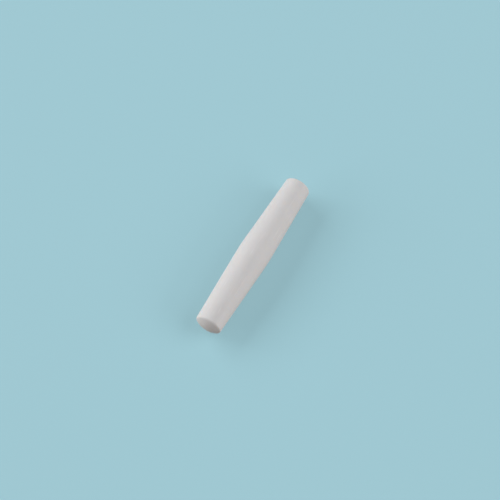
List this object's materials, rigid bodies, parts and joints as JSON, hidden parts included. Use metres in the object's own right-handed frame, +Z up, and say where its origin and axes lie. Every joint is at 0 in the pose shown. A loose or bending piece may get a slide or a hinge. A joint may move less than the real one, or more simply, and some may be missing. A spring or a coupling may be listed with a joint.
{
  "type": "magnetic stir bar",
  "caption": "Double-tapered white PTFE bar with domed ends, moulded around a rod magnet so that a turning magnet under the vessel spins it to stir a liquid.",
  "frame": {"origin": "centre of the bar, on its axis midway between the domed ends", "axes": "+X along the bar's axis, +Z up with the bar lying level on its crown, +Y completes the right-handed frame"},
  "size_m": [0.045, 0.008, 0.008],
  "materials": {
    "white_ptfe": "satin",
    "magnet_alloy": "matte"
  },
  "bodies": {
    "root": {"jacket": "white_ptfe", "bar_magnet": "magnet_alloy"}
  },
  "joints": []
}
